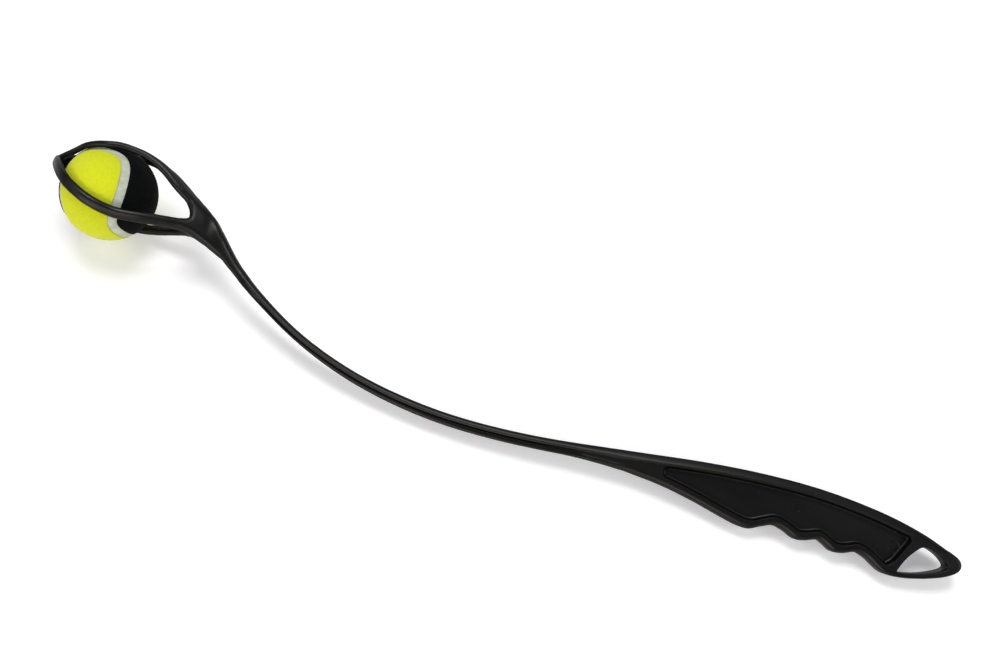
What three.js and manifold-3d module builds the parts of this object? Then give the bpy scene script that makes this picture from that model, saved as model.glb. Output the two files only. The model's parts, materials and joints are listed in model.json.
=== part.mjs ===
// Dog ball thrower: a black plastic arm with a four-armed cage at one end that grips a tennis ball,
// and a finger-grooved handle with a hanging loop at the other. It lies on its side, as it does on
// a floor. Millimetres, +Z up.
//
// The thrower's own frame has its origin at the ball's centre. x runs from the cage to the handle,
// y points to the back of the arm, away from the finger grooves, and z is square to the flat plane
// that the arm's curve lies in. The thrower is symmetric about z = 0.

import * as THREE from "three";
import { ConvexGeometry } from "three/addons/geometries/ConvexGeometry.js";
import { ConvexHull } from "three/addons/math/ConvexHull.js";
import { mergeVertices } from "three/addons/utils/BufferGeometryUtils.js";
import Module from "manifold-3d";

const wasm = await Module();
wasm.setup();

// Ball
const ballRadius = 32.5;
const feltThickness = 2.6;
const rubberWall = 3.4;
const seamWidth = 5.4;
const seamSink = 0.5;
const seamSwing = 0.226;
const seamPinch = 0.145;
const seamTurn = new THREE.Euler(-1.554, -0.59, -3.018, "ZYX");

// Cage that holds the ball
const armDepth = 5;
const armBevel = 1.5;
const armClearance = 0.8;
const tipInset = 0.006;
const tipStub = 0.1;
const throatStub = 0.86;

// Shaft
const shaftWidth = 12;
const shaftBevel = 1.3;
const channelWidth = 2.2;
const channelDepth = 2;
const swellLength = 90;
const shaftStart = 100;
const shaftEnd = 392;

// Handle
const handleWidth = 15;
const handleBevel = 1.6;
const rimHeight = 5.5;
const webThickness = 4;
const pocketStart = 413;
const pocketEnd = 582.5;
const pocketSlant = 0.42;
const hangHoleCorner = 5;
const pocketNose = 4;
const pocketOverrun = 2;
const cutOverrun = 8;

// Spacing of the points along the curved edges
const backSpacing = 7;
const fingerSpacing = 3.2;
const pocketRoofSpacing = 9;
const pocketFloorSpacing = 4.5;

// Gap that is left where one piece meets the next, and the density of each material in g/mm3
const pieceGap = 0.3;
const plasticDensity = 0.00095;
const rubberDensity = 0.0012;
const feltDensity = 0.00035;

// Back edge of the arm, from the throat to the end of the handle: x and y
const backEdge = spline([
  [62, 18.2], [80, 8.6], [100, -6.5], [125, -20.3], [160, -33.8], [200, -41.9], [242, -44],
  [285, -40.8], [335, -31.3], [396, -14.7], [440, -2.4], [480, 6.8], [520, 13.1], [560, 15.2],
  [590, 13.4], [609, 9.8],
]);

// Middle lines of the cage arms on the +z side, from the tip to the throat. First the places along
// the ball: angle round it in the plane, angle above the plane, and distance beyond the arm's seat
// on the ball. Then the places in the throat: x, y and z.
const tipPlace = [171.8, 0, 6.8];
const backArmRound = [
  tipPlace, [161.5, 8, 2], [149, 17.5, 0], [134, 29, 0], [118, 34.6, 0], [104, 35.2, 0], [92, 31.4, 0],
  [80, 26.8, 0.2], [61.6, 19.8, 2.8], [42.9, 14.8, 7.4], [27.1, 9.8, 14.2],
];
const backArmRoot = [[56, 16, 5.4], [69, 8.4, 2.4]];
const mouthArmRound = [
  tipPlace, [176.2, 21.9, 1], [-170.2, 51.4, 0], [-142.6, 67.3, 0], [-71.7, 69.1, 0],
  [-32.7, 50.9, 0], [-13.6, 33.8, 6.3], [-4.7, 20, 14.4],
];
const mouthArmRoot = [[59, -0.2, 11.2], [74, 1.2, 3.8]];

// Widths of the cage arms, at shares of their length from the tip to the throat
const backArmWidths = [[0, 5.4], [0.1, 4.6], [0.45, 5], [0.62, 7.2], [0.78, 9], [1, 8.4]];
const mouthArmWidths = [[0, 7], [0.25, 6.8], [0.6, 7.2], [1, 7.2]];

// Height of the shaft at places along x, measured square to it
const shaftHeights = [
  [100, 7.6], [120, 6.4], [150, 5.9], [200, 7.1], [250, 8], [310, 8.4], [350, 9], [372, 11], [392, 14],
];

// Skin of the throat between the arms and the shaft: points taken at +z and at -z
const throatSaddle = [
  [61, 13.5, 6], [59, 9, 7], [59.5, 5, 8], [64, -1.5, 10], [70, -4.2, 6], [66, 15.8, 4.5], [80, 8.2, 5],
  [84, -7.6, 6],
];

// Finger side of the handle: a straight run, three grooves between four ridges, then the end
const fingerEdge = spline([
  [380, -30.9], [400, -29.1], [422, -28.1], [445, -29], [464, -30.8], [476, -31.6], [484, -30.6],
  [491, -26], [498, -22], [506, -22.3], [514.5, -24.3], [521, -22.4], [528, -18.8], [534, -19.9],
  [540, -21.8], [547, -19.8], [554, -16], [562, -16.7], [569, -19.2], [577, -20.8], [589, -17.8],
  [601, -13],
]);

// Rounded end of the handle, between the finger side and the back
const handleNose = [[601, -13], [610, -7.6], [616.5, -2], [619.4, 3.6], [616.5, 7.3], [609, 9.8]];

// Corners of the hanging hole, and how far each side of it bows out
const hangHole = [[580, -18.8], [592, 7.4], [617, 0.4]];
const hangHoleBow = [1.2, 0.8, 1.8];

const black = { color: 0x17150f, roughness: 0.42, metalness: 0 };
const yellow = { color: 0xd9dd1c, roughness: 0.95, metalness: 0 };
const darkFelt = { color: 0x101213, roughness: 0.95, metalness: 0 };
const seamGrey = { color: 0xb7bdae, roughness: 0.85, metalness: 0 };
const rubber = { color: 0x3a3a38, roughness: 0.8, metalness: 0 };

// A smooth curve through points of the plane z = 0
function spline(points) {
  return new THREE.SplineCurve(points.map(([x, y]) => new THREE.Vector2(x, y)));
}

// The point of a curve at a given x: the curves here never turn back along x
function pointAt(curve, x) {
  let low = 0;
  let high = 1;
  for (let step = 0; step < 30; step += 1) {
    const middle = (low + high) / 2;
    if (curve.getPoint(middle).x < x) low = middle;
    else high = middle;
  }
  return curve.getPoint((low + high) / 2);
}

// Points of a curve from one x to another, about so far apart
function stretch(curve, from, to, spacing) {
  const count = Math.max(2, Math.round(Math.abs(to - from) / spacing));
  const points = [];
  for (let i = 0; i <= count; i += 1) {
    points.push(pointAt(curve, from + ((to - from) * i) / count));
  }
  return points;
}

// A value read between the places of a list of [place, value]
function between(list, place) {
  let i = 1;
  while (i < list.length - 1 && list[i][0] < place) i += 1;
  const [x0, v0] = list[i - 1];
  const [x1, v1] = list[i];
  const share = THREE.MathUtils.clamp((place - x0) / (x1 - x0), 0, 1);
  return v0 + (v1 - v0) * share * share * (3 - 2 * share);
}

// A closed solid through rings of equal count, its ends capped with the ring's own flat outline
function loft(rings, outline) {
  const count = rings[0].length;
  const positions = rings.flat().flatMap((p) => [p.x, p.y, p.z]);
  const index = [];
  for (let r = 0; r < rings.length - 1; r += 1) {
    for (let i = 0; i < count; i += 1) {
      const a = r * count + i;
      const b = r * count + ((i + 1) % count);
      index.push(a, b, b + count, a, b + count, a + count);
    }
  }
  const last = (rings.length - 1) * count;
  for (const [a, b, c] of THREE.ShapeUtils.triangulateShape(outline, [])) {
    index.push(a, c, b);
    index.push(last + a, last + b, last + c);
  }
  const geometry = new THREE.BufferGeometry();
  geometry.setAttribute("position", new THREE.Float32BufferAttribute(positions, 3));
  geometry.setIndex(index);
  return geometry;
}

// A closed band of rings that meets its own start, such as a ribbon round a ball
function closedLoft(rings) {
  const count = rings[0].length;
  const positions = rings.flat().flatMap((p) => [p.x, p.y, p.z]);
  const index = [];
  for (let r = 0; r < rings.length; r += 1) {
    const next = (r + 1) % rings.length;
    for (let i = 0; i < count; i += 1) {
      const j = (i + 1) % count;
      const a = r * count + i;
      const b = r * count + j;
      const c = next * count + j;
      const d = next * count + i;
      index.push(a, b, c, a, c, d);
    }
  }
  const geometry = new THREE.BufferGeometry();
  geometry.setAttribute("position", new THREE.Float32BufferAttribute(positions, 3));
  geometry.setIndex(index);
  return geometry;
}

// A plate of even thickness about z = 0, with bevelled edges
function plate(outline, thickness, bevel) {
  const geometry = new THREE.ExtrudeGeometry(new THREE.Shape(outline), {
    depth: thickness - 2 * bevel,
    bevelEnabled: bevel > 0,
    bevelThickness: bevel,
    bevelSize: bevel,
    bevelOffset: -bevel,
    bevelSegments: 2,
    steps: 1,
  });
  geometry.translate(0, 0, bevel - thickness / 2);
  return geometry;
}

// Solids for cutting and joining
function solid(geometry) {
  const bare = new THREE.BufferGeometry();
  bare.setAttribute("position", geometry.getAttribute("position").clone());
  if (geometry.index) bare.setIndex(geometry.index.clone());
  const merged = mergeVertices(bare, 1e-4);
  return new wasm.Manifold(new wasm.Mesh({
    numProp: 3,
    vertProperties: new Float32Array(merged.getAttribute("position").array),
    triVerts: new Uint32Array(merged.index.array),
  }));
}

function geometryOf(body) {
  const mesh = body.getMesh();
  const geometry = new THREE.BufferGeometry();
  const positions = new Float32Array(mesh.vertProperties);
  geometry.setAttribute("position", new THREE.BufferAttribute(positions, 3));
  geometry.setIndex(Array.from(mesh.triVerts));
  return geometry;
}

function joined(geometries) {
  return geometries.map(solid).reduce((all, next) => all.add(next));
}

// Ball

// The wavy line round a tennis ball, as a unit vector from its centre
function seamDirection(turn) {
  const wide = 1 - seamSwing;
  const direction = new THREE.Vector3(
    wide * Math.cos(turn) + seamSwing * Math.cos(3 * turn),
    wide * Math.sin(turn) - seamSwing * Math.sin(3 * turn),
    2 * Math.sqrt(wide * seamSwing) * Math.sin(2 * turn) + seamPinch * Math.sin(6 * turn),
  );
  return direction.normalize().applyEuler(seamTurn);
}

// A ribbon that stands on the seam line, from well inside the ball to well outside it
function seamRibbon(width) {
  const steps = 64;
  const reach = width / 2 / ballRadius;
  const rings = [];
  for (let i = 0; i < steps; i += 1) {
    const turn = (i / steps) * 2 * Math.PI;
    const out = seamDirection(turn);
    const along = seamDirection(turn + 0.01).sub(seamDirection(turn - 0.01)).normalize();
    const side = new THREE.Vector3().crossVectors(out, along).normalize();
    const ring = [];
    for (const [radius, sign] of [[0.5, -1], [0.5, 1], [1.4, 1], [1.4, -1]]) {
      const point = out.clone().multiplyScalar(Math.cos(reach));
      point.addScaledVector(side, sign * Math.sin(reach));
      ring.push(point.multiplyScalar(radius * ballRadius));
    }
    rings.push(ring);
  }
  return solid(closedLoft(rings));
}

function ballShell(outer, inner) {
  const outside = solid(new THREE.SphereGeometry(outer, 28, 16));
  return outside.subtract(solid(new THREE.SphereGeometry(inner, 28, 16)));
}

function coreHalf(side) {
  const outer = ballRadius - feltThickness - pieceGap;
  const half = new THREE.BoxGeometry(3 * outer, 3 * outer, 3 * outer);
  half.translate(0, 0, side * (1.5 * outer + pieceGap / 2));
  return geometryOf(ballShell(outer, outer - rubberWall).intersect(solid(half)));
}

// The two felt panels, the one nearest to a direction first
function feltPanels(direction) {
  const shell = ballShell(ballRadius, ballRadius - feltThickness);
  const pieces = shell.subtract(seamRibbon(seamWidth + 2 * pieceGap)).decompose();
  const nearness = (piece) => {
    const vertices = piece.getMesh().vertProperties;
    let best = -Infinity;
    for (let i = 0; i < vertices.length; i += 3) {
      const dot = vertices[i] * direction.x + vertices[i + 1] * direction.y + vertices[i + 2] * direction.z;
      best = Math.max(best, dot);
    }
    return best;
  };
  return pieces.sort((a, b) => nearness(b) - nearness(a)).slice(0, 2).map(geometryOf);
}

function seamBand() {
  const shell = ballShell(ballRadius - seamSink, ballRadius - feltThickness);
  return geometryOf(shell.intersect(seamRibbon(seamWidth)));
}

// Cage

// Distance from the ball's centre to the middle line of an arm that lies along the ball
const armSeat = ballRadius + armClearance + armDepth / 2;

// The place at these angles round the ball, so far beyond an arm's seat
function roundBall([around, above, beyond]) {
  const turn = THREE.MathUtils.degToRad(around);
  const rise = THREE.MathUtils.degToRad(above);
  const direction = new THREE.Vector3(
    Math.cos(rise) * Math.cos(turn),
    Math.cos(rise) * Math.sin(turn),
    Math.sin(rise),
  );
  return direction.multiplyScalar(armSeat + beyond);
}

// An arm's middle line, tip to throat
function armLine(round, root) {
  return new THREE.CatmullRomCurve3([...round.map(roundBall), ...root.map((p) => new THREE.Vector3(...p))]);
}

// Which way an arm's outer face looks: away from the ball, and near the throat away from the arm's axis
function outward(point) {
  const share = THREE.MathUtils.smoothstep(point.x, 5, 40);
  const fromBall = point.clone().normalize();
  const fromAxis = new THREE.Vector3(0, point.y - 7, point.z).normalize();
  return fromBall.lerp(fromAxis, share);
}

// Eight-sided section of an arm
function armOutline(width) {
  const across = width / 2;
  const deep = armDepth / 2;
  return [
    [across, armBevel - deep], [across, deep - armBevel], [across - armBevel, deep],
    [armBevel - across, deep], [-across, deep - armBevel], [-across, armBevel - deep],
    [armBevel - across, -deep], [across - armBevel, -deep],
  ].map(([s, d]) => new THREE.Vector2(s, d));
}

// A bar along a stretch of an arm's middle line
function armBar({ line, widths }, from, to, steps) {
  const rings = [];
  for (let i = 0; i <= steps; i += 1) {
    const place = from + ((to - from) * i) / steps;
    const centre = line.getPointAt(place);
    const along = line.getTangentAt(place);
    const side = new THREE.Vector3().crossVectors(outward(centre), along).normalize();
    const out = new THREE.Vector3().crossVectors(along, side).normalize();
    rings.push(armOutline(between(widths, place)).map((p) => (
      centre.clone().addScaledVector(side, p.x).addScaledVector(out, p.y)
    )));
  }
  return loft(rings, armOutline(armDepth));
}

function mirrored(geometry) {
  const copy = geometry.clone();
  copy.scale(1, 1, -1);
  const index = Array.from(copy.index.array);
  for (let i = 0; i < index.length; i += 3) {
    [index[i], index[i + 1]] = [index[i + 1], index[i]];
  }
  copy.setIndex(index);
  return copy;
}

const arms = [
  { line: armLine(backArmRound, backArmRoot), widths: backArmWidths },
  { line: armLine(mouthArmRound, mouthArmRoot), widths: mouthArmWidths },
];

function cageArm(arm) {
  const gap = pieceGap / arm.line.getLength();
  return armBar(arm, tipStub + gap, throatStub - gap, 20);
}

function cageTip() {
  const stubs = arms.map((arm) => armBar(arm, tipInset, tipStub, 4));
  const knuckle = new THREE.SphereGeometry(armDepth / 2, 12, 8);
  knuckle.translate(...roundBall(tipPlace).toArray());
  return geometryOf(joined([...stubs, ...stubs.map(mirrored), knuckle]));
}

// Shaft

// Frame of the shaft at a place along x: a point on its middle line, and the direction square to it
function shaftStation(x) {
  const edge = pointAt(backEdge, x);
  const ahead = pointAt(backEdge, x + 1).sub(pointAt(backEdge, x - 1)).normalize();
  const up = new THREE.Vector2(-ahead.y, ahead.x);
  const height = between(shaftHeights, x);
  return { middle: edge.clone().addScaledVector(up, -height / 2), up, height };
}

// Outline of the shaft's section: bevelled corners and a channel along each side
function shaftOutline(height, width) {
  const top = height / 2;
  const side = width / 2;
  const slot = channelWidth / 2;
  const floor = side - channelDepth;
  const quarter = [[top, side - shaftBevel], [top - shaftBevel, side], [slot, side], [slot, floor]];
  const half = [...quarter, ...quarter.map(([u, z]) => [-u, z]).reverse()];
  return [...half, ...half.map(([u, z]) => [-u, -z])].map(([u, z]) => new THREE.Vector2(u, z));
}

function shaftRing(x, width) {
  const { middle, up, height } = shaftStation(x);
  return shaftOutline(height, width).map((p) => (
    new THREE.Vector3(middle.x + up.x * p.x, middle.y + up.y * p.x, p.y)
  ));
}

function shaft() {
  const steps = 30;
  const rings = [];
  for (let i = 0; i <= steps; i += 1) {
    const x = shaftStart + ((shaftEnd - shaftStart) * i) / steps;
    const swell = THREE.MathUtils.smoothstep(x, shaftEnd - swellLength, shaftEnd);
    rings.push(shaftRing(x, shaftWidth + (handleWidth - shaftWidth) * swell));
  }
  return loft(rings, shaftOutline(between(shaftHeights, shaftStart), shaftWidth));
}

// The throat gathers the four arms into the shaft
function throat() {
  const stubs = arms.map((arm) => armBar(arm, throatStub, 1, 4));
  const root = shaftRing(shaftStart - pieceGap, shaftWidth);
  const saddle = throatSaddle.flatMap(([x, y, z]) => [new THREE.Vector3(x, y, z), new THREE.Vector3(x, y, -z)]);
  const block = new ConvexGeometry([...saddle, ...root]);
  return geometryOf(joined([...stubs, ...stubs.map(mirrored), block]));
}

// Handle: a spine with the web, a grooved finger rim under it, and the loop that closes its end

// Line of the step between the grip and the hanging loop, at a height y
function loopStep(y) {
  return pocketEnd + pocketSlant * y;
}

// The whole side outline of the handle, from its first x to its rounded end
function handleOutline(from) {
  const nose = spline(handleNose).getPoints(14);
  const back = stretch(backEdge, handleNose.at(-1)[0], from, backSpacing);
  const finger = stretch(fingerEdge, from, handleNose[0][0], fingerSpacing);
  return [...finger, ...nose.slice(1, -1), ...back];
}

// A thick prism to the right of the line from one point to another, for cutting the handle there
function rightOf(start, end) {
  const along = end.clone().sub(start).normalize().multiplyScalar(200);
  const right = new THREE.Vector2(along.y, -along.x).multiplyScalar(2);
  const low = start.clone().sub(along);
  const high = end.clone().add(along);
  const outline = [low, low.clone().add(right), high.clone().add(right), high];
  return solid(plate(outline, 4 * handleWidth, 0));
}

// The prism beyond the slanted step between the grip and the hanging loop
function beyondStep(shift) {
  return rightOf(new THREE.Vector2(loopStep(0) + shift, 0), new THREE.Vector2(loopStep(10) + shift, 10));
}

// Outline of the recess in the side of the grip: the grip's own outline less the rim
function pocketOutline() {
  const end = (curve, offset) => {
    let x = pocketEnd;
    for (let i = 0; i < 20; i += 1) x = loopStep(pointAt(curve, x).y + offset);
    return x;
  };
  const lift = (offset) => (p) => new THREE.Vector2(p.x, p.y + offset);
  const backEnd = end(backEdge, -rimHeight) + pocketOverrun;
  const fingerEnd = end(fingerEdge, rimHeight) + pocketOverrun;
  const from = pocketStart + pocketNose;
  const roof = stretch(backEdge, backEnd, from, pocketRoofSpacing).map(lift(-rimHeight));
  const floor = stretch(fingerEdge, from, fingerEnd, pocketFloorSpacing).map(lift(rimHeight));
  const nose = new THREE.Vector2(pocketStart, (roof[roof.length - 1].y + floor[0].y) / 2);
  return [...roof, nose, ...floor];
}

// The handle between the shaft and the step, less the recess in each side
function gripBody() {
  const { middle, up } = shaftStation(shaftEnd);
  const start = middle.clone().add(new THREE.Vector2(up.y, -up.x).multiplyScalar(pieceGap));
  const body = solid(plate(handleOutline(shaftEnd - cutOverrun), handleWidth, handleBevel));
  const pocket = plate(pocketOutline(), handleWidth - webThickness, 0);
  const sides = [-1, 1].map((side) => solid(pocket.clone().translate(0, 0, (side * handleWidth) / 2)));
  const trimmed = body.intersect(rightOf(start, start.clone().add(up))).subtract(beyondStep(0));
  return trimmed.subtract(sides[0]).subtract(sides[1]);
}

// Everything below the line where the finger rim ends, or below a line a little above it
function belowRim(lift) {
  const edge = stretch(fingerEdge, shaftEnd - 1.5 * cutOverrun, handleNose[0][0], pocketFloorSpacing);
  const line = edge.map((p) => new THREE.Vector2(p.x, p.y + rimHeight + lift));
  const first = new THREE.Vector2(line[0].x, -80);
  const last = new THREE.Vector2(line[line.length - 1].x, -80);
  return solid(plate([first, last, ...line.reverse()], 2 * handleWidth, 0));
}

function handleSpine() {
  return geometryOf(gripBody().subtract(belowRim(0)));
}

function fingerRim() {
  return geometryOf(gripBody().intersect(belowRim(-pieceGap)));
}

// The hanging hole: a triangle with bowed sides and rounded corners
function hangHoleOutline() {
  const corners = hangHole.map(([x, y]) => new THREE.Vector2(x, y));
  const centre = corners.reduce((sum, c) => sum.clone().add(c)).divideScalar(3);
  const points = [];
  corners.forEach((corner, i) => {
    const next = corners[(i + 1) % 3];
    const before = corners[(i + 2) % 3];
    const toNext = next.clone().sub(corner).normalize().multiplyScalar(hangHoleCorner);
    const toBefore = before.clone().sub(corner).normalize().multiplyScalar(hangHoleCorner);
    const start = corner.clone().add(toBefore);
    const curve = new THREE.QuadraticBezierCurve(start, corner, corner.clone().add(toNext));
    points.push(...curve.getPoints(4));
    const middle = corner.clone().add(next).divideScalar(2);
    const out = middle.clone().sub(centre).normalize();
    points.push(middle.addScaledVector(out, hangHoleBow[i]));
  });
  return points.reverse();
}

function hangLoop() {
  const body = solid(plate(handleOutline(560), handleWidth, handleBevel));
  const hole = solid(plate(hangHoleOutline(), 2 * handleWidth, 0));
  return geometryOf(body.intersect(beyondStep(pieceGap)).subtract(hole));
}

// Assembly

function piece(name, geometry, look, density) {
  const material = new THREE.MeshStandardMaterial(look);
  const mesh = new THREE.Mesh(geometry, material);
  mesh.name = name;
  mesh.userData.density = density;
  return mesh;
}

// Mass centre of a group of closed meshes, each as many small pyramids from the group's origin
function massCentre(group) {
  const centre = new THREE.Vector3();
  let total = 0;
  for (const mesh of group.children.flatMap((child) => (child.isMesh ? [child] : child.children))) {
    const bare = mesh.geometry.index ? mesh.geometry.toNonIndexed() : mesh.geometry;
    const at = bare.getAttribute("position");
    for (let i = 0; i < at.count; i += 3) {
      const [a, b, c] = [0, 1, 2].map((k) => new THREE.Vector3().fromBufferAttribute(at, i + k));
      const mass = (mesh.userData.density * a.dot(b.clone().cross(c))) / 6;
      centre.addScaledVector(a.add(b).add(c), mass / 4);
      total += mass;
    }
  }
  return centre.divideScalar(total);
}

// Turns the thrower from its own frame to the way it rests on a floor, on the side that faces -z:
// on the face of its convex hull that brings its mass centre lowest. Then its box is centred over
// the origin with its foot at z = 0.
function layDown(group) {
  const points = [];
  group.traverse((child) => {
    if (!child.isMesh) return;
    const at = child.geometry.getAttribute("position");
    for (let i = 0; i < at.count; i += 1) points.push(new THREE.Vector3().fromBufferAttribute(at, i));
  });
  const centre = massCentre(group);
  const height = (face) => face.constant - face.normal.dot(centre);
  const sides = new ConvexHull().setFromPoints(points).faces.filter((face) => face.normal.z < -0.8);
  const side = sides.reduce((best, face) => (height(face) < height(best) ? face : best));
  group.quaternion.setFromUnitVectors(side.normal, new THREE.Vector3(0, 0, -1));
  const box = new THREE.Box3().setFromPoints(points.map((p) => p.clone().applyQuaternion(group.quaternion)));
  const middle = box.getCenter(new THREE.Vector3());
  group.position.set(-middle.x, -middle.y, -box.min.z);
}

const ball = new THREE.Group();
const panels = feltPanels(new THREE.Vector3(-0.7, 0.2, 0.7));
ball.add(piece("ball_core_top", coreHalf(1), rubber, rubberDensity));
ball.add(piece("ball_core_bottom", coreHalf(-1), rubber, rubberDensity));
ball.add(piece("ball_felt_yellow", panels[0], yellow, feltDensity));
ball.add(piece("ball_felt_black", panels[1], darkFelt, feltDensity));
ball.add(piece("ball_seam", seamBand(), seamGrey, rubberDensity));

const [backArm, mouthArm] = arms.map(cageArm);
const thrower = new THREE.Group();
thrower.add(ball);
thrower.add(piece("cage_tip", cageTip(), black, plasticDensity));
thrower.add(piece("cage_arm_back_upper", backArm, black, plasticDensity));
thrower.add(piece("cage_arm_back_lower", mirrored(backArm), black, plasticDensity));
thrower.add(piece("cage_arm_mouth_upper", mouthArm, black, plasticDensity));
thrower.add(piece("cage_arm_mouth_lower", mirrored(mouthArm), black, plasticDensity));
thrower.add(piece("cage_throat", throat(), black, plasticDensity));
thrower.add(piece("shaft", shaft(), black, plasticDensity));
thrower.add(piece("handle_spine", handleSpine(), black, plasticDensity));
thrower.add(piece("handle_finger_rim", fingerRim(), black, plasticDensity));
thrower.add(piece("handle_hang_loop", hangLoop(), black, plasticDensity));
layDown(thrower);

const product = new THREE.Group();
product.add(thrower);

export default product;
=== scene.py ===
"""Dog ball thrower with a tennis ball in its cage, lying on a pale studio floor.

Every piece is shaped in the thrower's own frame in millimetres. Its origin is the ball's centre, x
runs from the cage to the handle, y points to the back of the arm, and z is square to the plane that
the arm curves in. The last step of each piece carries it to where the thrower lies, in metres.
"""
import json
import math

import bmesh
import bpy
from bpy.props import FloatProperty, FloatVectorProperty, IntProperty, PointerProperty
from mathutils import Matrix, Vector, kdtree, noise
from mathutils.geometry import interpolate_bezier


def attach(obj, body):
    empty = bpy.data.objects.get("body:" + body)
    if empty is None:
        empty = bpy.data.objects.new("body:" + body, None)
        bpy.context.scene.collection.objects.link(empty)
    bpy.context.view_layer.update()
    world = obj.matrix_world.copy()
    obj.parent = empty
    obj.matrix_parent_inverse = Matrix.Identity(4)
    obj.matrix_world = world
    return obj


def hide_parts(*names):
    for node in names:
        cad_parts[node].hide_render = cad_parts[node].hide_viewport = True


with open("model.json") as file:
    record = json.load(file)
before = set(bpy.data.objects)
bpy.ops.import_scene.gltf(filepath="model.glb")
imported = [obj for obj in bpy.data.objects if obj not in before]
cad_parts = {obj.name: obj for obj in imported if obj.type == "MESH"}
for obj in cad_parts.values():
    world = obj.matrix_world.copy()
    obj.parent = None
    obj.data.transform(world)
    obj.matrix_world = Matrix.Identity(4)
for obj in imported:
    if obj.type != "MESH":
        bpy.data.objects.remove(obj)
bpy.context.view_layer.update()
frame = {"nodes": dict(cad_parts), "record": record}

bl_info = {
    "name": "Dog Ball Thrower",
    "version": (1, 0, 0),
    "blender": (4, 5, 0),
    "location": "View3D > Sidebar > Thrower",
    "description": "Makes a dog ball thrower with a tennis ball in its cage",
    "category": "Add Mesh",
}

MILLIMETRE = 0.001

# Place of the record's grip mount in the thrower's own frame, on the floor of the recess
GRIP_MOUNT = (500, -8, 2)

# Back edge of the arm, from the throat to the end of the handle: x and y
BACK_EDGE = (
    (62, 18.2), (80, 8.6), (100, -6.5), (125, -20.3), (160, -33.8), (200, -41.9), (242, -44),
    (285, -40.8), (335, -31.3), (396, -14.7), (440, -2.4), (480, 6.8), (520, 13.1), (560, 15.2),
    (590, 13.4), (609, 9.8),
)

# Finger side of the handle: a straight run, three grooves between four ridges, then the end
FINGER_EDGE = (
    (380, -30.9), (400, -29.1), (422, -28.1), (445, -29), (464, -30.8), (476, -31.6), (484, -30.6),
    (491, -26), (498, -22), (506, -22.3), (514.5, -24.3), (521, -22.4), (528, -18.8), (534, -19.9),
    (540, -21.8), (547, -19.8), (554, -16), (562, -16.7), (569, -19.2), (577, -21.1), (589, -18.5),
    (601, -13.7),
)
HANDLE_NOSE = (
    (601, -13.7), (610.3, -8.9), (616.6, -4.4), (620.1, -0.6), (620.8, 3.8), (617.4, 7.6),
    (609, 9.8),
)

# Height of the shaft at places along x, measured square to it
SHAFT_HEIGHTS = (
    (84, 10.5), (100, 7.6), (120, 6.4), (150, 5.9), (200, 7.1), (250, 8), (310, 8.4), (350, 9),
    (372, 11), (392, 14),
)

# Width of the rounded rim at the back and at the finger side, at places along x
BACK_RIM = (
    (84, 2.8), (108, 3.2), (120, 2.8), (144, 2.5), (187, 2.5), (238, 2.9), (295, 2.7), (345, 3),
    (372, 3.9), (396, 4.7), (575, 4.7), (592, 3.4),
)
FINGER_RIM = (
    (84, 1.6), (120, 0.9), (144, 0.8), (187, 1.8), (238, 2.5), (270, 2.2), (295, 1.7), (349, 1.2),
    (372, 2), (400, 4), (440, 4.4), (560, 4.4), (575, 3.1), (584, 2.1), (600, 2.1), (620, 2.4),
)

# The x where the back rim ends, and the stretches where it rises into its lip, sinks from it, gets
# squarer, and loses the wide slope on its inner side
BACK_RIM_END = 609.5
LIP_RISES = (106, 122)
LIP_SINKS = (584, 596)
RIM_SQUARES = (330, 430)
SLOPE_NARROWS = (586, 598)

# Width of the slope on the inner side of the back rim and of the other rim, and its profile: shares
# of this width and of the lip's height
RIM_SLOPE = 1.1
NARROW_SLOPE = 0.15
SLOPE_PROFILE = ((0.14, 0.96), (0.28, 0.84), (0.8, 0.14), (0.95, 0.02), (1.05, 0))

# The most that a rim drops from its top to the wall
DEEPEST_RIM = 3.2

# Channel along the side of the shaft: its ends along x, and its wall as distances inwards and
# shares of its depth
CHANNEL = (118, 404)
CHANNEL_WALL = ((0.06, 0.1), (0.18, 0.5), (0.3, 0.92), (0.36, 1))

# Recess in the side of the grip: the run of its roof and its floor along x, how far the floor lies
# above the finger edge, and the corners of its end beside the loop
RECESS_ROOF = (420, 588)
RECESS_FLOOR = (422.5, 579)
RECESS_RIM = 5.4
RECESS_END = ((579.3, -11.8), (584.2, 2.8), (585.6, 6.2))

# Wall of the recess: distances inwards with depths below the side face, and then with heights
# above the web
RECESS_WALL = ((0.06, 0.03), (0.22, 0.13), (0.36, 0.36))
RECESS_FOOT = (
    (0.62, 2.2), (0.85, 1.35), (1.2, 0.7), (1.65, 0.28), (2.15, 0.06), (2.5, 0), (2.6, 0),
)

# Corners of the hanging hole, anticlockwise, how often each is eased to round it, how far the side
# after it bows out, and the hole's wall as distances inwards and depths
HANG_HOLE = ((615.6, -0.6), (592.8, 6.4), (582, -17.9))
HANG_HOLE_EASING = (30, 16, 5)
HANG_HOLE_BOWS = (2.6, 2, 2.5)
HANG_HOLE_WALL = ((0.1, 0.04), (0.45, 0.35), (0.62, 0.6), (0.7, 1.1))

# Moulding marks on the web of the grip: x, y, radius and depth, and their walls as distances
# inwards and shares of the depth
GATE_MARK = (508.8, -4, 3.4, 0.45)
PIN_MARK = (576.8, -2.3, 4, 0.3)
PIN_WALL = ((0.12, 0.2), (0.3, 0.85), (0.45, 1), (0.5, 1))
GATE_WALL = (*PIN_WALL, (1.9, 1), (2.1, 0.3))

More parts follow.
